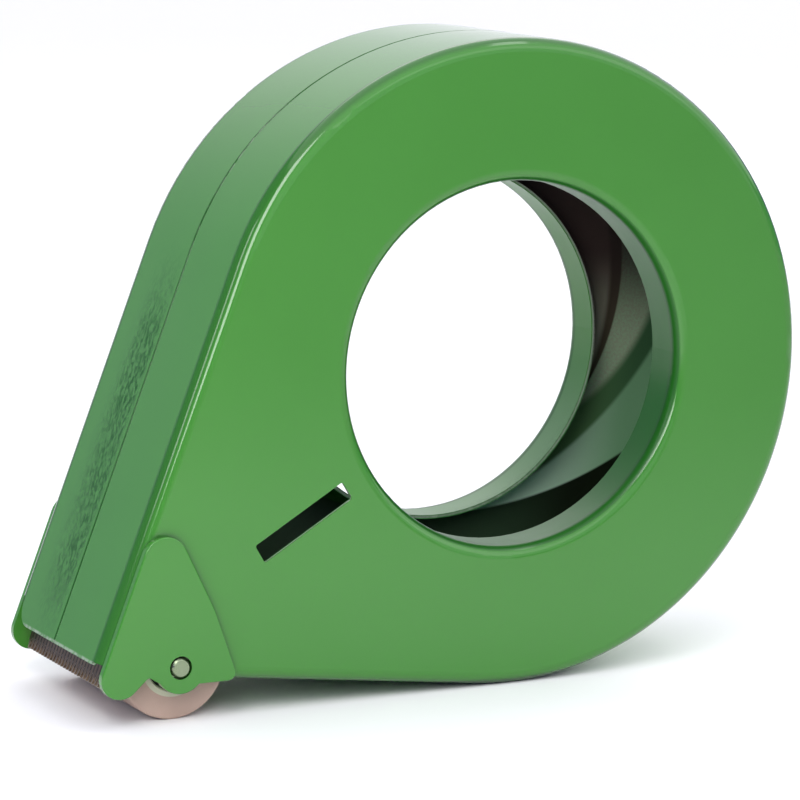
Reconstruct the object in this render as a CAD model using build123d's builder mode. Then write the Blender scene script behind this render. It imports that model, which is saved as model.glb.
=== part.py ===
from build123d import *
import os
from math import cos, radians, sin

# Ring-handled hand dispenser for 45 mm packing tape on a 76 mm core.
# Frame: origin at the centre of the hand hole, half way across the width.
# +X points from the nose to the back of the ring, +Y from the cover half to the main half, +Z up.
# The ring and the roller both stand on the plane Z = -ring_radius.
# Sketches lie on Plane.XZ and grow towards -Y. Pieces of the main half are mirrored to +Y.

# Housing: two drawn sheet-steel halves that meet at Y = 0
ring_radius = 65.0
hole_radius = 36.7
half_width = 23.4
sheet = 0.8
edge_round = 2.7
hole_round = 2.5
flange_end = 13.0  # the hole's flange ends this far from the seam
seam_gap = 0.2
sheet_edge = 0.25
top_wall_angle = 158.7  # direction of the upper wall's outward normal, in degrees
bottom_wall_angle = 262.9
wall_end = 81.6  # length of the upper wall, from where it leaves the ring
bottom_wall_end = -61.4  # X where the lower wall stops
main_corner = 5.5  # corner radius at the end of the main half's upper wall
cover_corner = 0.6
tolerance = 0.01

# Slot in each face
slot_distance = 54.4
slot_length = 21.8
slot_width = 4.1
slot_corner = 0.5

# Side plates
plate_thickness = 1.6
plate_edge = 0.35
plate_inset = 1.0  # the plate's left edge below the upper wall's outer surface
plate_hole = 2.3
hole_shift = 0.12  # the pin's end sags in its clearance hole, so it stands low in it
boss_radius = 5.1
plate_top = 47.4  # along the upper wall, where the plate's left edge would start and end if square
plate_bottom = 88.1
plate_top_radius = 4.7
lobe_radius = 3.9  # the guard lobe beside the blade
lobe_reach = 10.9  # reaches and drops are from the pin
lobe_drop = 5.0
notch_reach = 6.7
notch_drop = 1.2
notch_radius = 0.8
flat_drop = 3.45  # the plate's lower edge, right of the boss
flat_start = 2.4
boss_reach = 2.1
boss_drop = 4.0
corner_reach = 12.1
corner_radius = 1.6
side_reach = 7.1  # where the right edge bends slightly
side_rise = 11.1
side_radius = 40.0

# Opening at the nose: the housing's face is cut away behind the plate
shelf_height = 4.2  # the face stops this far above the pin
shelf_left = 4.5
shelf_right = 9.5
shelf_step = 0.5
wall_step = 2.5

# Roller and its pin
pin_x = -73.4
pin_z = -54.0
pin_radius = 2.0
pin_chamfer = 0.4
pin_head_radius = 3.4
pin_head_height = 1.1
pin_head_round = 1.0
tyre_radius = ring_radius + pin_z
tyre_edge = 0.5
core_radius = 6.5
core_bore = 5.2
core_edge = 0.3
roller_half = 20.6
bush_recess = 4.0
bush_length = 6.0
bush_clearance = 0.05
end_play = 0.1
washer_radius = 3.8
washer_thickness = 0.5
clip_radius = 3.6
clip_thickness = 0.6
clip_opening = 2.2
groove_radius = 1.55
groove_play = 0.05
spacer_radius = 3.2

# Locating band inside the seam
band_thickness = 0.8
band_reach = 6.0
band_clearance = 0.2
band_end = 58.0

# Blade and its holder, measured along the upper wall and below its outer surface
blade_depth = 3.7
blade_thickness = 0.6
blade_half = 20.25
blade_start = 65.5
blade_tip = 85.8
tooth_depth = 2.3
tooth_count = 27
holder_thickness = 1.0
holder_start = 60.0
weld_end = 65.0
step_length = 2.5
bend_shift = 0.4  # between a bend's two faces, along the wall
outer_bend = 1.2
inner_bend = 0.3
holder_end = 80.2
screw_along = 69.0
screw_spread = 12.0
screw_radius = 1.25
screw_clearance = 0.1
screw_head_radius = 2.2
screw_head_height = 1.3
screw_head_round = 0.5
drive_width = 0.7
drive_depth = 0.6

top_normal = Vector(cos(radians(top_wall_angle)), 0, sin(radians(top_wall_angle)))
top_slope = Vector(-sin(radians(top_wall_angle)), 0, cos(radians(top_wall_angle)))
bottom_normal = Vector(cos(radians(bottom_wall_angle)), 0, sin(radians(bottom_wall_angle)))
nose_angle = (top_wall_angle + bottom_wall_angle) / 2
nose_direction = (cos(radians(nose_angle)), sin(radians(nose_angle)))
tip_factor = 1 / cos(radians((bottom_wall_angle - top_wall_angle) / 2))
bush_face = roller_half - bush_recess
plate_outside = half_width + plate_thickness
face_inside = half_width - sheet
cut_room = 10.0


def by_wall(along, depth):
    """X and Z of a point given along the upper wall and below its outer surface."""
    point = top_normal * (ring_radius - depth) + top_slope * along
    return (point.X, point.Z)


def wall_plane(depth):
    """Plane under the upper wall, facing inward: x away from the main half, y along the wall."""
    return Plane(
        origin=top_normal * (ring_radius - depth), x_dir=(0, -1, 0), z_dir=-top_normal
    )


def teardrop(inset):
    """The housing's outline drawn in by an inset: a ring with two walls that run to a point."""
    radius = ring_radius - inset
    top = (radius * top_normal.X, radius * top_normal.Z)
    bottom = (radius * bottom_normal.X, radius * bottom_normal.Z)
    tip = (radius * tip_factor * nose_direction[0], radius * tip_factor * nose_direction[1])
    with BuildSketch() as outline:
        with BuildLine():
            ThreePointArc(bottom, (radius, 0), top)
            Polyline(top, tip, bottom)
        make_face()
    return outline.sketch_local


def plate_outline():
    """Side plate: rounded top, straight left edge, guard lobe, notch, and boss round the pin."""
    left_top = by_wall(plate_top, plate_inset)
    left_bottom = by_wall(plate_bottom, plate_inset)
    lobe_end = (pin_x - lobe_reach, pin_z - lobe_drop)
    notch = (pin_x - notch_reach, pin_z - notch_drop)
    boss_left = (pin_x - boss_reach, pin_z - boss_drop)
    boss_right = (pin_x + flat_start, pin_z - flat_drop)
    corner = (pin_x + corner_reach, pin_z - flat_drop)
    side = (pin_x + side_reach, pin_z + side_rise)
    with BuildSketch() as outline:
        with BuildLine():
            Polyline(
                left_top,
                left_bottom,
                lobe_end,
                notch,
                boss_left,
                boss_right,
                corner,
                side,
                close=True,
            )
        make_face()
        for point, radius in (
            (left_top, plate_top_radius),
            (left_bottom, lobe_radius),
            (lobe_end, lobe_radius),
            (notch, notch_radius),
            (corner, corner_radius),
            (side, side_radius),
        ):
            fillet(outline.vertices().sort_by_distance((*point, 0))[0], radius)
        with Locations((pin_x, pin_z)):
            Circle(boss_radius)
    return outline.sketch_local


def nose_cut():
    """What a half leaves out at the nose: all past its walls' ends and round the pin."""
    outside = by_wall(wall_end, -cut_room)
    inside = by_wall(wall_end, plate_inset + edge_round)
    shelf = pin_z + shelf_height
    below = -ring_radius - cut_room
    beyond = -2 * ring_radius
    with BuildSketch() as cut:
        with BuildLine():
            Polyline(
                outside,
                inside,
                (pin_x - shelf_left, shelf),
                (pin_x + shelf_right, shelf),
                (pin_x + shelf_right, pin_z - shelf_step),
                (bottom_wall_end, pin_z - wall_step),
                (bottom_wall_end, below),
                (beyond, below),
                (beyond, outside[1]),
                outside,
            )
        make_face()
    return cut.sketch_local


def wall_corner(radius):
    """What lies outside the rounded corner at the end of a half's upper wall."""
    bend = half_width - edge_round
    with BuildSketch() as cut:
        with BuildLine():
            Polyline(
                (bend - radius, wall_end),
                (bend - radius, wall_end + cut_room),
                (half_width + cut_room, wall_end + cut_room),
                (half_width + cut_room, wall_end - radius),
                (bend, wall_end - radius),
            )
            CenterArc((bend - radius, wall_end - radius), radius, 0, 90)
        make_face()
    return cut.sketch_local


def half_shell(start, end_radius):
    """A drawn half from its seam edge outward: walls, face, flanged hand hole and slot."""
    with BuildPart() as hollow:
        with BuildSketch(Plane.XZ.offset(start - cut_room)):
            add(teardrop(sheet))
            Circle(hole_radius + sheet, mode=Mode.SUBTRACT)
        extrude(amount=face_inside - start + cut_room)
        inner_edges = hollow.edges().group_by(Axis.Y)[0]
        post = inner_edges.filter_by(GeomType.CIRCLE).sort_by(SortBy.RADIUS)[0]
        fillet(post, hole_round - sheet)
        rim = hollow.faces().sort_by(Axis.Y)[0].outer_wire().edges()
        fillet(rim, edge_round - sheet)
    with BuildPart() as half:
        with BuildSketch(Plane.XZ.offset(start)):
            add(teardrop(0))
            Circle(hole_radius, mode=Mode.SUBTRACT)
        extrude(amount=half_width - start)
        face_circles = half.edges().group_by(Axis.Y)[0].filter_by(GeomType.CIRCLE)
        fillet(face_circles.sort_by(SortBy.RADIUS)[0], hole_round)
        fillet(half.faces().sort_by(Axis.Y)[0].outer_wire().edges(), edge_round)
        add(hollow.part, mode=Mode.SUBTRACT)
        with BuildSketch(Plane.XZ):
            Circle(hole_radius + 2 * sheet)
        extrude(amount=flange_end, mode=Mode.SUBTRACT)
        with BuildSketch(Plane.XZ.offset(face_inside - sheet)):
            with Locations((slot_distance * nose_direction[0], slot_distance * nose_direction[1])):
                RectangleRounded(slot_length, slot_width, slot_corner, rotation=nose_angle)
        extrude(amount=cut_room, mode=Mode.SUBTRACT)
        with BuildSketch(Plane.XZ):
            add(nose_cut())
        extrude(amount=half_width + cut_room, mode=Mode.SUBTRACT)
        with BuildSketch(wall_plane(-sheet)):
            add(wall_corner(end_radius))
        extrude(amount=edge_round + 2 * sheet, mode=Mode.SUBTRACT)
        seam_edges = half.edges().filter_by_position(Axis.Y, -start - tolerance, -start + tolerance)
        fillet([edge for edge in seam_edges if edge.length > 2 * sheet], sheet_edge)
    return half.part


def side_plate(pin_hole, shift):
    """The plate on the outside of a half, which carries one end of the pin."""
    with BuildPart() as plate:
        with BuildSketch(Plane.XZ.offset(half_width)):
            add(plate_outline())
            with Locations((pin_x - shift, pin_z + shift)):
                Circle(pin_hole, mode=Mode.SUBTRACT)
        extrude(amount=plate_thickness)
        fillet(plate.faces().sort_by(Axis.Y)[0].outer_wire().edges(), plate_edge)
    return plate.part


# Cover half, on the -Y side
with BuildPart() as cover_shell:
    add(half_shell(seam_gap, cover_corner))

with BuildPart() as cover_side_plate:
    add(side_plate(plate_hole, hole_shift))

# Main half, on the +Y side, which carries the pin and the blade
with BuildPart() as main_shell:
    add(half_shell(0, main_corner))
    mirror(about=Plane.XZ, mode=Mode.REPLACE)

with BuildPart() as main_side_plate:
    add(side_plate(pin_radius, 0))
    mirror(about=Plane.XZ, mode=Mode.REPLACE)

# Strip welded inside the main half, which the cover half slides over
with BuildPart() as locating_band:
    for outside, reach in ((sheet, -band_reach), (sheet + band_clearance, band_reach)):
        with BuildSketch(Plane.XZ):
            add(teardrop(outside))
            add(teardrop(sheet + band_clearance + band_thickness), mode=Mode.SUBTRACT)
            with BuildLine():
                Polyline(
                    by_wall(band_end, -cut_room),
                    by_wall(band_end, cut_room),
                    (bottom_wall_end + band_reach, pin_z + cut_room),
                    (bottom_wall_end + band_reach, -ring_radius - cut_room),
                    (-2 * ring_radius, -ring_radius - cut_room),
                    by_wall(band_end, -cut_room),
                )
            make_face(mode=Mode.SUBTRACT)
        extrude(amount=reach)

# Bent strip welded under the main half's upper wall, which reaches across under the cover's
with BuildPart() as blade_holder:
    top_face = blade_depth - holder_thickness
    step_top = weld_end + step_length
    bends = (
        (by_wall(weld_end, sheet), outer_bend),
        (by_wall(step_top, top_face), inner_bend),
        (by_wall(step_top - bend_shift, blade_depth), outer_bend),
        (by_wall(weld_end - bend_shift, sheet + holder_thickness), inner_bend),
    )
    with BuildSketch(Plane.XZ) as holder_profile:
        with BuildLine():
            Polyline(
                by_wall(holder_start, sheet),
                bends[0][0],
                bends[1][0],
                by_wall(holder_end, top_face),
                by_wall(holder_end, blade_depth),
                bends[2][0],
                bends[3][0],
                by_wall(holder_start, sheet + holder_thickness),
                close=True,
            )
        make_face()
        for point, radius in bends:
            fillet(holder_profile.vertices().sort_by_distance((*point, 0))[0], radius)
    extrude(amount=blade_half, both=True)
    with BuildSketch(Plane.XZ.offset(-sheet)):
        with BuildLine():
            Polyline(
                by_wall(holder_start - sheet, 0),
                by_wall(weld_end + sheet, 0),
                by_wall(weld_end + sheet, blade_depth),
                by_wall(holder_start - sheet, blade_depth),
                close=True,
            )
        make_face()
    extrude(amount=half_width, mode=Mode.SUBTRACT)
    with BuildSketch(wall_plane(0)):
        with Locations((-screw_spread, screw_along), (screw_spread, screw_along)):
            Circle(screw_radius)
    extrude(amount=cut_room, mode=Mode.SUBTRACT)

with BuildPart() as cutting_blade:
    pitch = 2 * blade_half / tooth_count
    root = blade_tip - tooth_depth
    teeth = [(-blade_half, root)]
    for tooth in range(tooth_count):
        left = -blade_half + tooth * pitch
        teeth += [(left + pitch / 2, blade_tip), (left + pitch, root)]
    with BuildSketch(wall_plane(blade_depth)):
        with BuildLine():
            Polyline(*teeth, (blade_half, blade_start), (-blade_half, blade_start), close=True)
        make_face()
        with Locations((-screw_spread, screw_along), (screw_spread, screw_along)):
            Circle(screw_radius + screw_clearance, mode=Mode.SUBTRACT)
    extrude(amount=blade_thickness)

with BuildPart() as blade_screws:
    under_head = blade_depth + blade_thickness
    places = [(-screw_spread, screw_along), (screw_spread, screw_along)]
    with BuildSketch(wall_plane(under_head)):
        with Locations(*places):
            Circle(screw_head_radius)
    extrude(amount=screw_head_height)
    outward = Axis(origin=(0, 0, 0), direction=top_normal)
    head_rims = blade_screws.edges().filter_by(GeomType.CIRCLE).group_by(outward)[0]
    fillet(head_rims, screw_head_round)
    with BuildSketch(wall_plane(under_head + screw_head_height - drive_depth)):
        with Locations(*places):
            Rectangle(2 * screw_head_radius, drive_width)
    extrude(amount=drive_depth, mode=Mode.SUBTRACT)
    with BuildSketch(wall_plane(under_head)):
        with Locations(*places):
            Circle(screw_radius)
    extrude(amount=-(blade_thickness + holder_thickness))

# Pin, headed on the outside of the main plate, and what keeps the roller on it
clip_start = bush_face + end_play + washer_thickness + groove_play
with BuildPart() as axle_pin:
    with BuildSketch(Plane.XZ.offset(-plate_outside)):
        with Locations((pin_x, pin_z)):
            Circle(pin_radius)
    extrude(amount=2 * plate_outside)
    chamfer(axle_pin.edges().group_by(Axis.Y)[0], pin_chamfer)
    with BuildSketch(Plane.XZ.offset(-plate_outside)):
        with Locations((pin_x, pin_z)):
            Circle(pin_head_radius)
    extrude(amount=-pin_head_height)
    fillet(axle_pin.edges().group_by(Axis.Y)[-1], pin_head_round)
    with BuildSketch(Plane.XZ.offset(clip_start - groove_play)):
        with Locations((pin_x, pin_z)):
            Circle(washer_radius)
            Circle(groove_radius, mode=Mode.SUBTRACT)
    extrude(amount=clip_thickness + 2 * groove_play, mode=Mode.SUBTRACT)

with BuildPart() as axle_spacer:
    with BuildSketch(Plane.XZ.offset(-half_width)):
        with Locations((pin_x, pin_z)):
            Circle(spacer_radius)
            Circle(pin_radius + bush_clearance, mode=Mode.SUBTRACT)
    extrude(amount=half_width - bush_face - end_play)

with BuildPart() as axle_washer:
    with BuildSketch(Plane.XZ.offset(bush_face + end_play)):
        with Locations((pin_x, pin_z)):
            Circle(washer_radius)
            Circle(pin_radius + bush_clearance, mode=Mode.SUBTRACT)
    extrude(amount=washer_thickness)

with BuildPart() as retaining_ring:
    with BuildSketch(Plane.XZ.offset(clip_start)) as ring_profile:
        with Locations((pin_x, pin_z)):
            Circle(clip_radius)
            Circle(groove_radius + groove_play, mode=Mode.SUBTRACT)
        with Locations((pin_x, pin_z + clip_radius)):
            Rectangle(clip_opening, 2 * clip_radius, mode=Mode.SUBTRACT)
    extrude(amount=clip_thickness)

# Roller: rubber on a tube that turns on two bushes
with BuildPart() as roller_tyre:
    with BuildSketch(Plane.XZ.offset(-roller_half)):
        with Locations((pin_x, pin_z)):
            Circle(tyre_radius)
            Circle(core_radius, mode=Mode.SUBTRACT)
    extrude(amount=2 * roller_half)
    tyre_ends = roller_tyre.edges().filter_by(GeomType.CIRCLE).group_by(SortBy.RADIUS)[-1]
    fillet(tyre_ends, tyre_edge)

with BuildPart() as roller_core:
    with BuildSketch(Plane.XZ.offset(-roller_half)):
        with Locations((pin_x, pin_z)):
            Circle(core_radius)
            Circle(core_bore, mode=Mode.SUBTRACT)
    extrude(amount=2 * roller_half)
    core_ends = roller_core.edges().filter_by(GeomType.CIRCLE).group_by(SortBy.RADIUS)[0]
    chamfer(core_ends, core_edge)

with BuildPart() as roller_bush_near:
    with BuildSketch(Plane.XZ.offset(bush_face - bush_length)):
        with Locations((pin_x, pin_z)):
            Circle(core_bore)
            Circle(pin_radius + bush_clearance, mode=Mode.SUBTRACT)
    extrude(amount=bush_length)

with BuildPart() as roller_bush_far:
    add(roller_bush_near.part)
    mirror(about=Plane.XZ, mode=Mode.REPLACE)

os.makedirs("parts", exist_ok=True)
pieces = {
    "main_shell": main_shell,
    "main_side_plate": main_side_plate,
    "locating_band": locating_band,
    "blade_holder": blade_holder,
    "cutting_blade": cutting_blade,
    "blade_screws": blade_screws,
    "axle_pin": axle_pin,
    "axle_spacer": axle_spacer,
    "axle_washer": axle_washer,
    "retaining_ring": retaining_ring,
    "cover_shell": cover_shell,
    "cover_side_plate": cover_side_plate,
    "roller_core": roller_core,
    "roller_tyre": roller_tyre,
    "roller_bush_near": roller_bush_near,
    "roller_bush_far": roller_bush_far,
}
for name, piece in pieces.items():
    piece.part.label = name
    export_step(piece.part, f"parts/{name}.step")
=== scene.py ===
import bpy
from math import cos, pi, radians, sin
from mathutils import Matrix, Vector


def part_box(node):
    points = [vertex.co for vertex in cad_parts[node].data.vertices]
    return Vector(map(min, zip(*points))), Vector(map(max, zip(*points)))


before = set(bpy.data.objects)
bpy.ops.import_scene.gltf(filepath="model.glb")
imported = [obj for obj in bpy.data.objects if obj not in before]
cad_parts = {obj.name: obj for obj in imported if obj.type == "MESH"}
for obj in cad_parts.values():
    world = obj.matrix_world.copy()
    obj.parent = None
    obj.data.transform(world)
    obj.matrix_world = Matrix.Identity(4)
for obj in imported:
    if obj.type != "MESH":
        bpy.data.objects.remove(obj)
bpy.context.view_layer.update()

# Sizes in metres and angles that the masks need; they repeat the CAD model's
MM = 0.001
RING_RADIUS = 65 * MM
HOLE_RADIUS = 36.7 * MM
HALF_WIDTH = 23.4 * MM
EDGE_ROUND = 2.7 * MM
HOLE_ROUND = 2.5 * MM
TOP_WALL_ANGLE = radians(158.7)
BOTTOM_WALL_ANGLE = radians(262.9)
WALL_LENGTH = 81.6 * MM
TOOTH_COUNT = 27

# Limits of the housing's masks: each is 0 up to its first number and 1 from its second
SHEET_MIDDLE = (0.45 * MM, 0.65 * MM)
CUT_EDGE_STARTS = (0.12 * MM, 0.25 * MM)
CUT_EDGE_STOPS = (0.68 * MM, 0.55 * MM)
CLEAR_OF_SEAM = (1.0 * MM, 1.6 * MM)
IN_SEAM = (0.48 * MM, 0.28 * MM)
ON_FLANGE = (37.8 * MM, 37.3 * MM)
ON_COVER_FLANGE = (0.0, -8 * MM)
LOW_IN_HOLE = (4 * MM, -24 * MM)
ON_MAIN_FACE = (21.6 * MM, 22.2 * MM)
ON_WALLS = (21.0 * MM, 20.0 * MM)
AT_WALL_END = (WALL_LENGTH - 0.75 * MM, WALL_LENGTH - 0.35 * MM)
BY_HOLE = (44 * MM, 40 * MM)
BEND_FOOT = (19.9 * MM, 20.6 * MM)
BEND_FADE = (0.0, 0.9 * MM)
BEND_TOP = 23.2 * MM
BEND_DROP_AT_HOLE = 1.2 * MM
WRINKLES_LEAVE_SEAM = (0.4 * MM, 2.5 * MM)
WRINKLES_STOP_ASIDE = (17 * MM, 7 * MM)
WRINKLES_START = (-4 * MM, 22 * MM)
WRINKLES_STOP = (86 * MM, 64 * MM)

# Arcs that part the painted light and shadow bands on the main half's inner face: centre x, centre z,
# radius, softness in mm
SHADOW_LINE_ARC = (-9.8, 12.6, 56.2, 0.8)
LIGHT_PATCH_ARC = (1.6, 13.4, 47.6, 0.25)
SHADOW_BAND_ARC = (18.4, 18.4, 41.5, 1.2)
LIT_BAND_ARC = (-9.3, 40.0, 81.0, 0.6)
SHADOW_CRESCENT_ARC = (9.5, 48.6, 87.2, 0.3)

# Linear colours; a pair is what a noise or a ramp runs between
ENAMEL = (0.043, 0.202, 0.023, 1), (0.049, 0.223, 0.028, 1)
NEAR_FLANGE_SHADE = (0.010, 0.104, 0.007, 1)
DUST_AND_SHEEN_FILM = (0.60, 0.60, 0.60, 1)
BEND_SHADE = (0.010, 0.070, 0.008, 1)
THIN_PAINT_AND_HIGHLIGHT = (0.340, 0.400, 0.320, 1)
WRINKLE_SHADE = (0.002, 0.080, 0.004, 1)
CREASE_SHADE = (0.010, 0.060, 0.008, 1)
SEAM_SHADE = (0.008, 0.060, 0.008, 1)
PALE_LIP_AND_HIGHLIGHT = (0.42, 0.48, 0.38, 1)
BARE_STEEL = (0.30, 0.29, 0.27, 1)
INNER_ENAMEL = (0.055, 0.240, 0.055, 1)
PRIMER_AND_SHADE = (0.020, 0.012, 0.013, 1), (0.170, 0.155, 0.135, 1)
SHADED_UNDERCOAT_BAND = (0.330, 0.330, 0.240, 1), (0.052, 0.034, 0.030, 1)
SHADOW_LINE_BAND = (0.070, 0.055, 0.034, 1), (0.030, 0.020, 0.017, 1)
DUST_AND_LIGHT_BAND = (0.330, 0.470, 0.290, 1), (0.056, 0.072, 0.048, 1)
SHADOW_BAND = (0.090, 0.190, 0.075, 1), (0.040, 0.110, 0.045, 1)
LIT_ENAMEL_BAND = (0.72, 0.96, 0.74, 1), (0.180, 0.370, 0.195, 1)
SHADOW_CRESCENT_BAND = (0.035, 0.070, 0.035, 1), (0.004, 0.006, 0.002, 1)
BROWNED_STEEL = (0.150, 0.102, 0.062, 1), (0.240, 0.168, 0.105, 1)
BLADE_SCRATCH = (0.020, 0.012, 0.008, 1)
FLUTE_SHADE = (0.012, 0.008, 0.006, 1)
BLADE_EDGE = (0.42, 0.38, 0.34, 1)
ZINC = (0.23, 0.28, 0.17, 1), (0.31, 0.37, 0.24, 1)
RUBBER = (0.390, 0.266, 0.206, 1), (0.462, 0.332, 0.262, 1)
CREAM_PLASTIC = (0.47, 0.48, 0.33, 1), (0.54, 0.55, 0.39, 1)
DARK_PLASTIC = (0.012, 0.012, 0.012, 1), (0.02, 0.02, 0.02, 1)
PALE_FLOOR = (0.915, 0.91, 0.89, 1), (0.935, 0.93, 0.91, 1)
FRONT_SHADE_ON_FLOOR = (0.50, 0.50, 0.49, 1)
ROOM = (0.13, 0.15, 0.32, 1)
BACKDROP = (1.02, 1.02, 1.08, 1)

# The studio: its floor, the soft borders of its backdrop from dark to bright, and its camera
FLOOR_HEIGHT = -RING_RADIUS
FLOOR_REACH = 8.0
FLOOR_FRONT = (0.6, -0.8)
FLOOR_DARKENS = (0.08, 0.45)
BACKDROP_LEFT = (radians(-42), radians(14))
BACKDROP_RIGHT = (radians(48), radians(35))
BACKDROP_TOP = (0.86, 0.50)
CAMERA_PLACE = (-0.35658, -0.70160, 0.12060)
CAMERA_HEADING = -25.987
CAMERA_PITCH = -9.462
CAMERA_ROLL = 0.14
FOCAL_LENGTH = 175.5
SENSOR_WIDTH = 36


# ---------------------------------------------------------------- node helpers
class Finish:
    """A material under construction, with short calls for the nodes that the finishes share."""

    RAY_SAMPLES = 6
    CREASE_LIGHT = (0.92, 0.45)
    EDGE_COSINE = (0.995, 0.85)

    def __init__(self, name):
        self.material = bpy.data.materials.new(name)
        self.material.use_nodes = True
        self.tree = self.material.node_tree
        self.shader = self.tree.nodes["Principled BSDF"]
        place = self.tree.nodes.new("ShaderNodeTexCoord")
        self.place = place.outputs["Object"]

    def feed(self, socket, value):
        """Link a socket to another socket, or set it to a constant."""
        if isinstance(value, bpy.types.NodeSocket):
            self.tree.links.new(value, socket)
        else:
            socket.default_value = value

    def math(self, operation, *values):
        node = self.tree.nodes.new("ShaderNodeMath")
        node.operation = operation
        for socket, value in zip(node.inputs, values):
            self.feed(socket, value)
        return node.outputs[0]

    def fold(self, operation, first, *others):
        """An operation of two values, run over more of them from left to right."""
        for other in others:
            first = self.math(operation, first, other)
        return first

    def times(self, *values):
        return self.fold("MULTIPLY", *values)

    def length(self, across, up):
        """Length of a vector, from its two components."""
        squares = self.math("MULTIPLY_ADD", up, up, self.math("MULTIPLY", across, across))
        return self.math("SQRT", squares)

    def ramp(self, value, low, high, start=0.0, end=1.0):
        """start where value is low, end where it is high, and smooth between."""
        node = self.tree.nodes.new("ShaderNodeMapRange")
        node.interpolation_type = "SMOOTHSTEP"
        for socket, given in zip(node.inputs, (value, low, high, start, end)):
            self.feed(socket, given)
        return node.outputs[0]

    def band(self, value, rise, fall):
        """1 between two limits, each given as the values that the mask rises or falls between."""
        return self.times(self.ramp(value, *rise), self.ramp(value, *fall))

    def axes(self):
        """The position's X, Y and Z."""
        node = self.tree.nodes.new("ShaderNodeSeparateXYZ")
        self.feed(node.inputs[0], self.place)
        return node.outputs

    def stretched(self, x, y, z):
        """The position scaled per axis, so that a noise there is longer where the scale is small."""
        node = self.tree.nodes.new("ShaderNodeVectorMath")
        node.operation = "MULTIPLY"
        self.feed(node.inputs[0], self.place)
        node.inputs[1].default_value = (x, y, z)
        return node.outputs[0]

    def noise(self, size, detail=3.0, place=None, roughness=0.5, distortion=0.0):
        """Noise with features about size metres across, around 0.5."""
        node = self.tree.nodes.new("ShaderNodeTexNoise")
        self.feed(node.inputs["Vector"], place or self.place)
        node.inputs["Scale"].default_value = 1 / size
        node.inputs["Detail"].default_value = detail
        node.inputs["Roughness"].default_value = roughness
        node.inputs["Distortion"].default_value = distortion
        return node.outputs["Fac"]

    def mix(self, share, first, second):
        node = self.tree.nodes.new("ShaderNodeMix")
        node.data_type = "RGBA"
        self.feed(node.inputs["Factor"], share)
        self.feed(node.inputs["A"], first)
        self.feed(node.inputs["B"], second)
        return node.outputs["Result"]

    def bump(self, *heights):
        """Bump from pairs of a height and its depth in metres."""
        below = None
        for height, depth in heights:
            node = self.tree.nodes.new("ShaderNodeBump")
            node.inputs["Strength"].default_value = 1.0
            node.inputs["Distance"].default_value = depth
            self.feed(node.inputs["Height"], height)
            if below is not None:
                self.feed(node.inputs["Normal"], below)
            below = node.outputs["Normal"]
        self.feed(self.shader.inputs["Normal"], below)

    def set(self, **sockets):
        """Feed the shader's sockets, named with _ for each space."""
        for name, value in sockets.items():
            self.feed(self.shader.inputs[name.replace("_", " ")], value)

    def creases(self, size):
        """About 1 in a tight inner corner, and 0 in the open."""
        node = self.tree.nodes.new("ShaderNodeAmbientOcclusion")
        node.samples = self.RAY_SAMPLES
        node.inputs["Distance"].default_value = size
        return self.ramp(node.outputs["AO"], *self.CREASE_LIGHT)

    def edges(self, size):
        """About 1 within size of a sharp edge, and 0 on flat faces."""
        bevel = self.tree.nodes.new("ShaderNodeBevel")
        bevel.samples = self.RAY_SAMPLES
        bevel.inputs["Radius"].default_value = size
        geometry = self.tree.nodes.new("ShaderNodeNewGeometry")
        dot = self.tree.nodes.new("ShaderNodeVectorMath")
        dot.operation = "DOT_PRODUCT"
        self.feed(dot.inputs[0], bevel.outputs["Normal"])
        self.feed(dot.inputs[1], geometry.outputs["Normal"])
        return self.ramp(dot.outputs["Value"], *self.EDGE_COSINE)


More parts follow.
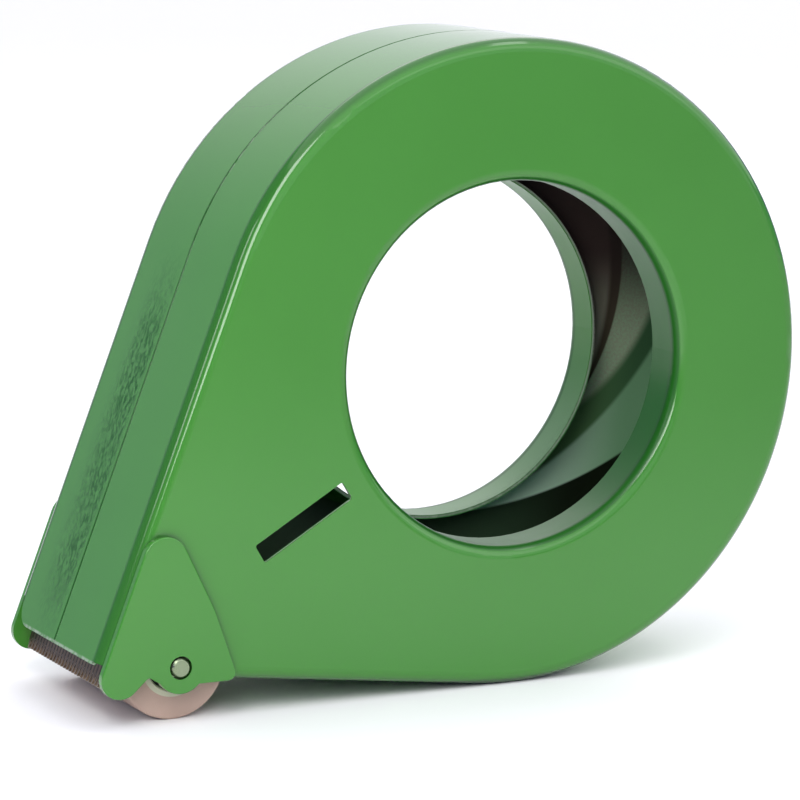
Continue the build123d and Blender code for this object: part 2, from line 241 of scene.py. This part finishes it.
class HousingFinish(Finish):
    """A finish on the pressed housing, with the measures and masks that tell its surfaces apart."""

    def __init__(self, name):
        super().__init__(name)
        self.x, self.y, self.z = self.axes()
        self.radius = self.length(self.x, self.z)
        self.width = self.math("ABSOLUTE", self.y)
        top_wall = self.by_wall(TOP_WALL_ANGLE, 1)
        bottom_wall = self.by_wall(BOTTOM_WALL_ANGLE, -1)
        self.down_top_wall = top_wall[1]
        self.depth = self.sheet_depth(self.outline_level(top_wall, bottom_wall))
        self.inside = self.ramp(self.depth, *SHEET_MIDDLE)
        self.outside = self.math("SUBTRACT", 1.0, self.inside)
        self.flange = self.times(self.ramp(self.radius, *ON_FLANGE), self.outside)
        self.seam = self.times(self.ramp(self.width, *IN_SEAM), self.outside)

    def by_wall(self, angle, way):
        """Distance out from the centre, square to a wall, and along it from where it leaves the ring."""
        across = self.math("MULTIPLY", self.x, cos(angle))
        out = self.math("MULTIPLY_ADD", self.z, sin(angle), across)
        start = self.math("MULTIPLY", self.x, -way * sin(angle))
        along = self.math("MULTIPLY_ADD", self.z, way * cos(angle), start)
        return out, along

    def outline_level(self, top_wall, bottom_wall):
        """Distance out from the centre: the radius on the ring, square to the nearer wall in the nose."""
        along = self.math("MINIMUM", top_wall[1], bottom_wall[1])
        in_nose = self.math("GREATER_THAN", along, 0.0)
        wall = self.math("MAXIMUM", top_wall[0], bottom_wall[0])
        difference = self.math("SUBTRACT", wall, self.radius)
        return self.math("MULTIPLY_ADD", difference, in_nose, self.radius)

    def rounded_depth(self, across, height, rounding):
        """Depth under a rounded edge, from the distances past the centre of its rounding."""
        out_across = self.math("MAXIMUM", across, 0.0)
        out_up = self.math("MAXIMUM", height, 0.0)
        inner = self.math("MINIMUM", self.math("MAXIMUM", across, height), 0.0)
        reach = self.math("ADD", self.length(out_across, out_up), inner)
        return self.math("SUBTRACT", rounding, reach)

    def sheet_depth(self, level):
        """Depth below the housing's outer surface: 0 outside, one sheet's thickness inside."""
        rim = self.math("SUBTRACT", level, RING_RADIUS - EDGE_ROUND)
        rim_height = self.math("SUBTRACT", self.width, HALF_WIDTH - EDGE_ROUND)
        hole = self.math("SUBTRACT", HOLE_RADIUS + HOLE_ROUND, self.radius)
        hole_height = self.math("SUBTRACT", self.width, HALF_WIDTH - HOLE_ROUND)
        below_rim = self.rounded_depth(rim, rim_height, EDGE_ROUND)
        below_hole = self.rounded_depth(hole, hole_height, HOLE_ROUND)
        return self.math("MINIMUM", below_rim, below_hole)


# ---------------------------------------------------------------- green enamel
def wrinkles_by_seam(housing):
    """Where the paint of the main half's upper wall has wrinkled beside the seam, and its folds."""
    beside = housing.band(housing.y, WRINKLES_LEAVE_SEAM, WRINKLES_STOP_ASIDE)
    down = housing.band(housing.down_top_wall, WRINKLES_START, WRINKLES_STOP)
    patches = housing.noise(8 * MM, place=housing.stretched(0.6, 1.4, 0.6))
    share = housing.times(beside, down, housing.ramp(patches, 0.12, 0.46))
    folds = housing.noise(0.55 * MM, place=housing.stretched(0.40, 1.0, 0.40), distortion=0.5)
    return share, folds


def arc_side(housing, arc):
    """0 inside an arc of the inner face's bands and 1 outside it."""
    centre_x, centre_z, radius, softness = arc
    across = housing.math("SUBTRACT", housing.x, centre_x * MM)
    up = housing.math("SUBTRACT", housing.z, centre_z * MM)
    distance = housing.length(across, up)
    return housing.ramp(distance, (radius - softness) * MM, (radius + softness) * MM)


def inner_face_paint(housing, dust):
    """Painted light and shade on the main half's inner face: primer shaded darker towards the top, a
    painted shadow line, a patch of dust and painted light, a painted shadow band, a lit band of enamel
    and a painted shadow crescent.
    """
    up = housing.ramp(housing.z, -6 * MM, 16 * MM)
    grain = housing.ramp(dust, 0.40, 0.60)
    shaded_undercoat = housing.mix(up, *SHADED_UNDERCOAT_BAND)
    shadow_line = housing.mix(up, *SHADOW_LINE_BAND)
    dust_and_light = housing.mix(housing.times(grain, 0.65), housing.mix(up, *DUST_AND_LIGHT_BAND), shaded_undercoat)
    shaded = housing.mix(housing.ramp(housing.x, 36 * MM, 56 * MM), *SHADOW_BAND)
    lit_enamel = housing.mix(housing.ramp(housing.x, 22 * MM, 52 * MM), *LIT_ENAMEL_BAND)
    # painted shadow: the dark crescent low on the face
    dark = housing.mix(housing.ramp(housing.x, 14 * MM, 40 * MM), *SHADOW_CRESCENT_BAND)
    color = housing.mix(arc_side(housing, SHADOW_LINE_ARC), shaded_undercoat, shadow_line)
    color = housing.mix(arc_side(housing, LIGHT_PATCH_ARC), color, dust_and_light)
    color = housing.mix(arc_side(housing, SHADOW_BAND_ARC), color, shaded)
    color = housing.mix(arc_side(housing, LIT_BAND_ARC), color, lit_enamel)
    return housing.mix(arc_side(housing, SHADOW_CRESCENT_ARC), color, dark)


def inner_paint(housing, dust):
    """The inside: thin enamel low down; above it patchy primer with dust, with painted shade that makes
    it darker higher up; painted light and shadow bands on the main half's face.
    """
    patch = housing.noise(14 * MM, detail=5.0, roughness=0.65)
    height = housing.math("MULTIPLY_ADD", housing.math("SUBTRACT", patch, 0.5), 30 * MM, housing.z)
    dust_and_light = housing.times(housing.ramp(height, 16 * MM, 2 * MM), housing.ramp(dust, 0.25, 0.75))
    # primer with dust, pale low down; its dark end higher up is painted shade
    primer = housing.mix(dust_and_light, *PRIMER_AND_SHADE)
    walls = housing.mix(housing.ramp(height, -14 * MM, 0.0), INNER_ENAMEL, primer)
    on_face = housing.ramp(housing.y, *ON_MAIN_FACE)
    return housing.mix(on_face, walls, inner_face_paint(housing, dust))


def rounded_bends(housing):
    """The rounded bends at the rims of the faces, which get painted shade; round the hand hole, only the
    foot of the bend.
    """
    by_hole = housing.ramp(housing.radius, *BY_HOLE)
    top = housing.math("MULTIPLY_ADD", by_hole, -BEND_DROP_AT_HOLE, BEND_TOP)
    below_top = housing.ramp(housing.math("SUBTRACT", top, housing.width), *BEND_FADE)
    return housing.times(housing.ramp(housing.width, *BEND_FOOT), below_top)


def outer_paint(housing):
    """The outside: painted shade on the near flange, a film of dust with a painted sheen low on the far
    one, painted shade on the bends.
    """
    enamel = housing.mix(housing.noise(35 * MM, detail=2.0), *ENAMEL)
    # painted shade: the near flange darker green
    shaded_flange = housing.times(housing.flange, housing.ramp(housing.y, *ON_COVER_FLANGE))
    flange_shaded = housing.mix(shaded_flange, enamel, NEAR_FLANGE_SHADE)
    far_flange = housing.math("SUBTRACT", housing.flange, shaded_flange)
    # dust and a painted sheen: a pale film low on the far flange
    dust_and_sheen = housing.times(housing.ramp(housing.z, *LOW_IN_HOLE), far_flange)
    with_dust_and_sheen = housing.mix(housing.times(dust_and_sheen, 0.17), flange_shaded, DUST_AND_SHEEN_FILM)
    # painted shade on the rounded bends next to the faces
    bends = housing.times(rounded_bends(housing), housing.outside, 0.55)
    return housing.mix(bends, with_dust_and_sheen, BEND_SHADE)


def cut_edges(housing):
    """The sheet's cut edges, pale with thin paint and a painted highlight, except where the halves meet
    at the seam.
    """
    in_thickness = housing.band(housing.depth, CUT_EDGE_STARTS, CUT_EDGE_STOPS)
    return housing.times(in_thickness, housing.ramp(housing.width, *CLEAR_OF_SEAM), 0.65)


def lip_wear_and_highlight(housing, wear):
    """The end of the upper wall: paint worn thin, and a painted highlight along the lip."""
    on_wall = housing.times(housing.ramp(housing.width, *ON_WALLS), housing.outside)
    at_end = housing.ramp(housing.down_top_wall, *AT_WALL_END)
    return housing.times(on_wall, at_end, housing.ramp(wear, 0.38, 0.60, start=0.15, end=0.65))


def set_gloss(housing, streaks, chips):
    """Gloss paint under a clear coat, duller inside, on the flanges and in the wrinkles."""
    smudge = housing.noise(9 * MM, detail=4.0, roughness=0.6)
    gloss = housing.ramp(smudge, 0.3, 0.7, start=0.09, end=0.14)
    dull = housing.fold("MAXIMUM", housing.inside, housing.times(housing.flange, 0.6), streaks)
    uncoated = housing.fold("MAXIMUM", housing.flange, housing.seam, streaks)
    coated = housing.math("SUBTRACT", housing.outside, uncoated)
    housing.set(Roughness=housing.math("MULTIPLY_ADD", dull, 0.35, gloss))
    housing.set(Metallic=housing.times(chips, 0.8), Specular_IOR_Level=0.35)
    housing.set(Coat_Weight=housing.times(coated, 0.35), Coat_Roughness=0.04)


def green_enamel():
    """Gloss enamel on pressed steel: primer with dust, painted shade and painted light on the inside;
    thin paint and a painted highlight at the sheet's edges.
    """
    housing = HousingFinish("green_enamel")
    dust = housing.noise(0.55 * MM, detail=4.0, roughness=0.7)
    wear = housing.noise(1.6 * MM, detail=4.0, roughness=0.65)
    wrinkled, folds = wrinkles_by_seam(housing)
    streaks = housing.times(wrinkled, housing.ramp(folds, 0.43, 0.57, start=0.10))
    chips = housing.times(housing.edges(0.25 * MM), housing.ramp(wear, 0.62, 0.68))
    color = housing.mix(housing.inside, outer_paint(housing), inner_paint(housing, dust))
    for share, shade in (
        # thin paint and a painted highlight, pale along the cut edges
        (cut_edges(housing), THIN_PAINT_AND_HIGHLIGHT),
        # painted shade in the folds of the wrinkled paint
        (streaks, WRINKLE_SHADE),
        # painted shade in creases and where parts meet
        (housing.times(housing.creases(2.0 * MM), housing.outside, 0.75), CREASE_SHADE),
        (housing.times(housing.seam, 0.7), SEAM_SHADE),
        # worn paint and a painted highlight, pale along the upper wall's end
        (lip_wear_and_highlight(housing, wear), PALE_LIP_AND_HIGHLIGHT),
        (chips, BARE_STEEL),
    ):
        color = housing.mix(share, color, shade)
    housing.set(Base_Color=color)
    set_gloss(housing, streaks, chips)
    waves = housing.noise(26 * MM, detail=1.0)
    peel = housing.noise(1.4 * MM, detail=1.0)
    grain = housing.times(dust, housing.inside)
    ripples = housing.times(folds, wrinkled)
    housing.bump((waves, 0.10 * MM), (peel, 0.004 * MM), (grain, 0.04 * MM), (ripples, 0.018 * MM))
    return housing.material


# ---------------------------------------------------------------- other finishes
def blade_steel():
    """Browned spring steel, with painted shade in stripes along the grooves between the teeth, and bright
    sharp edges.
    """
    finish = Finish("blade_steel")
    grain = finish.noise(0.5 * MM, place=finish.stretched(1, 8, 1))
    stain = finish.noise(3 * MM, detail=4.0, roughness=0.6)
    scratches = finish.noise(0.42 * MM, detail=1.0, place=finish.stretched(0.12, 1.6, 0.12))
    brown = finish.mix(stain, *BROWNED_STEEL)
    scratched = finish.mix(finish.ramp(scratches, 0.42, 0.58, end=0.5), brown, BLADE_SCRATCH)
    low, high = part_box("cutting_blade")
    from_end = finish.math("SUBTRACT", finish.axes()["Y"], low[1])
    phase = finish.math("MULTIPLY", from_end, 2 * pi * TOOTH_COUNT / (high[1] - low[1]))
    flutes = finish.ramp(finish.math("COSINE", phase), 0.0, 0.7, end=0.9)
    # painted shade: dark stripes along the grooves between the teeth
    flute_shaded = finish.mix(flutes, scratched, FLUTE_SHADE)
    color = finish.mix(finish.edges(0.18 * MM), flute_shaded, BLADE_EDGE)
    roughness = finish.ramp(grain, 0.3, 0.7, start=0.28, end=0.45)
    finish.set(Base_Color=color, Metallic=0.9, Roughness=roughness)
    finish.bump((grain, 0.01 * MM))
    return finish.material


def plated_steel():
    """Zinc-plated turned steel with a fine surface and stains."""
    finish = Finish("plated_steel")
    marks = finish.noise(0.25 * MM, detail=2.0)
    stain = finish.noise(2.5 * MM)
    roughness = finish.ramp(stain, 0.3, 0.7, start=0.24, end=0.38)
    finish.set(Base_Color=finish.mix(stain, *ZINC), Metallic=1.0, Roughness=roughness)
    finish.bump((marks, 0.008 * MM))
    return finish.material


def tyre_rubber():
    """Pale brown rubber sleeve, ground smooth, with a fine grain and faint clouds."""
    finish = Finish("tyre_rubber")
    grain = finish.noise(0.35 * MM)
    cloud = finish.noise(6 * MM)
    roughness = finish.ramp(grain, 0.3, 0.7, start=0.50, end=0.64)
    finish.set(Base_Color=finish.mix(cloud, *RUBBER), Roughness=roughness)
    finish.bump((grain, 0.02 * MM))
    return finish.material


def moulded_plastic(name, colors):
    """Moulded plastic with a faint mottle between two colours."""
    finish = Finish(name)
    mottle = finish.noise(1.2 * MM)
    roughness = finish.ramp(mottle, 0.3, 0.7, start=0.36, end=0.5)
    finish.set(Base_Color=finish.mix(mottle, *colors), Roughness=roughness)
    finish.bump((mottle, 0.012 * MM))
    return finish.material


def studio_floor():
    """A pale matt board, with painted shade that makes it darker in front of the object."""
    finish = Finish("studio_floor")
    mottle = finish.noise(40 * MM)
    pale = finish.mix(mottle, *PALE_FLOOR)
    x, y = finish.axes()[:2]
    across = finish.math("MULTIPLY", x, FLOOR_FRONT[0])
    forward = finish.math("MULTIPLY_ADD", y, FLOOR_FRONT[1], across)
    # painted shade: the floor darker in front
    color = finish.mix(finish.ramp(forward, *FLOOR_DARKENS), pale, FRONT_SHADE_ON_FLOOR)
    roughness = finish.ramp(mottle, 0.3, 0.7, start=0.46, end=0.54)
    finish.set(Base_Color=color, Roughness=roughness, Specular_IOR_Level=0.18)
    finish.bump((mottle, 0.01 * MM))
    return finish.material


def paint_nodes():
    """Swap each CAD material for the finish that has its name."""
    finishes = {
        "green_enamel": green_enamel(),
        "blade_steel": blade_steel(),
        "plated_steel": plated_steel(),
        "tyre_rubber": tyre_rubber(),
        "core_plastic": moulded_plastic("core_plastic", CREAM_PLASTIC),
        "bush_plastic": moulded_plastic("bush_plastic", DARK_PLASTIC),
    }
    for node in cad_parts:
        for slot in bpy.data.objects[node].material_slots:
            slot.material = finishes[slot.material.name.split(".")[0]]


# ---------------------------------------------------------------- studio
def add_object(name, data):
    """A new object in the scene's collection."""
    thing = bpy.data.objects.new(name, data)
    bpy.context.collection.objects.link(thing)
    return thing


def add_floor():
    signs = ((-1, -1), (1, -1), (1, 1), (-1, 1))
    corners = [(x * FLOOR_REACH, y * FLOOR_REACH, FLOOR_HEIGHT) for x, y in signs]
    mesh = bpy.data.meshes.new("floor")
    mesh.from_pydata(corners, [], [(0, 1, 2, 3)])
    mesh.materials.append(studio_floor())
    floor = add_object("floor", mesh)


def toward(azimuth, elevation):
    """Unit vector at an azimuth in degrees from -Y towards -X, and an elevation."""
    azimuth, elevation = radians(azimuth), radians(elevation)
    return Vector((-sin(azimuth) * cos(elevation), -cos(azimuth) * cos(elevation), sin(elevation)))


def add_softbox(name, low, high, width, radiance, distance=1.2):
    """A softbox that faces the object, its middle line between two directions from it."""
    start, end = (toward(*way) * distance for way in (low, high))
    data = bpy.data.lights.new(name, "AREA")
    data.shape = "RECTANGLE"
    data.size = width
    data.size_y = (end - start).length
    data.energy = radiance * pi * data.size * data.size_y
    light = add_object(name, data)
    middle = (start + end) / 2
    along = (end - start).normalized()
    away = (middle - along * middle.dot(along)).normalized()
    axes = Matrix((along.cross(away), along, away)).transposed().to_4x4()
    light.matrix_world = Matrix.Translation(middle) @ axes
    light.visible_camera = False
    return light


def add_sun(name, way, spread, strength, color):
    """A sun that shines from a direction, spread over an angle in degrees."""
    data = bpy.data.lights.new(name, "SUN")
    data.angle = radians(spread)
    data.energy = strength
    data.color = color
    light = add_object(name, data)
    light.rotation_euler = Vector(way).to_track_quat("Z", "Y").to_euler()


def backdrop_share(tree):
    """1 on the backdrop and 0 off it, by azimuth and by height, each over soft borders."""
    place = tree.nodes.new("ShaderNodeTexCoord")
    axes = tree.nodes.new("ShaderNodeSeparateXYZ")
    tree.links.new(place.outputs["Generated"], axes.inputs[0])
    azimuth = tree.nodes.new("ShaderNodeMath")
    azimuth.operation = "ARCTAN2"
    tree.links.new(axes.outputs["X"], azimuth.inputs[0])
    tree.links.new(axes.outputs["Y"], azimuth.inputs[1])
    share = None
    for value, (dark, bright) in (
        (azimuth.outputs[0], BACKDROP_LEFT),
        (azimuth.outputs[0], BACKDROP_RIGHT),
        (axes.outputs["Z"], BACKDROP_TOP),
    ):
        ramp = tree.nodes.new("ShaderNodeMapRange")
        ramp.interpolation_type = "SMOOTHSTEP"
        tree.links.new(value, ramp.inputs["Value"])
        ramp.inputs["From Min"].default_value = dark
        ramp.inputs["From Max"].default_value = bright
        if share is None:
            share = ramp.outputs["Result"]
            continue
        product = tree.nodes.new("ShaderNodeMath")
        product.operation = "MULTIPLY"
        tree.links.new(share, product.inputs[0])
        tree.links.new(ramp.outputs["Result"], product.inputs[1])
        share = product.outputs[0]
    return share


def add_world():
    """A dim bluish room with a white backdrop behind the object."""
    world = bpy.data.worlds.new("studio")
    bpy.context.scene.world = world
    world.use_nodes = True
    tree = world.node_tree
    mix = tree.nodes.new("ShaderNodeMix")
    mix.data_type = "RGBA"
    mix.inputs["A"].default_value = ROOM
    mix.inputs["B"].default_value = BACKDROP
    tree.links.new(backdrop_share(tree), mix.inputs["Factor"])
    tree.links.new(mix.outputs["Result"], tree.nodes["Background"].inputs["Color"])


def add_camera():
    """A long lens from the left, looking a little down."""
    data = bpy.data.cameras.new("camera")
    data.lens = FOCAL_LENGTH
    data.sensor_width = SENSOR_WIDTH
    camera = add_object("camera", data)
    heading = Matrix.Rotation(radians(CAMERA_HEADING), 4, "Z")
    tilt = Matrix.Rotation(radians(90 + CAMERA_PITCH), 4, "X")
    roll = Matrix.Rotation(radians(CAMERA_ROLL), 4, "Z")
    camera.matrix_world = Matrix.Translation(CAMERA_PLACE) @ heading @ tilt @ roll
    bpy.context.scene.camera = camera


paint_nodes()
add_floor()
add_softbox("key", low=(34, 8), high=(46, 48), width=0.15, radiance=9.5, distance=0.6)
add_softbox("fill", low=(71, 14), high=(74, 33), width=0.13, radiance=5.5, distance=0.75)
add_softbox("rim", low=(-80, 66), high=(-42, 53), width=0.16, radiance=3.5)
card = add_softbox("card", low=(-62, 17), high=(14, 17), width=0.70, radiance=0.8)
card.visible_diffuse = False
side = add_softbox("side", low=(-112, 6), high=(-112, 40), width=0.80, radiance=2.0)
side.visible_glossy = False
add_sun("top", way=(0.35, -0.02, 0.94), spread=120, strength=2.8, color=(1.0, 0.985, 0.95))
add_world()
add_camera()
bpy.context.scene.view_settings.view_transform = "Standard"
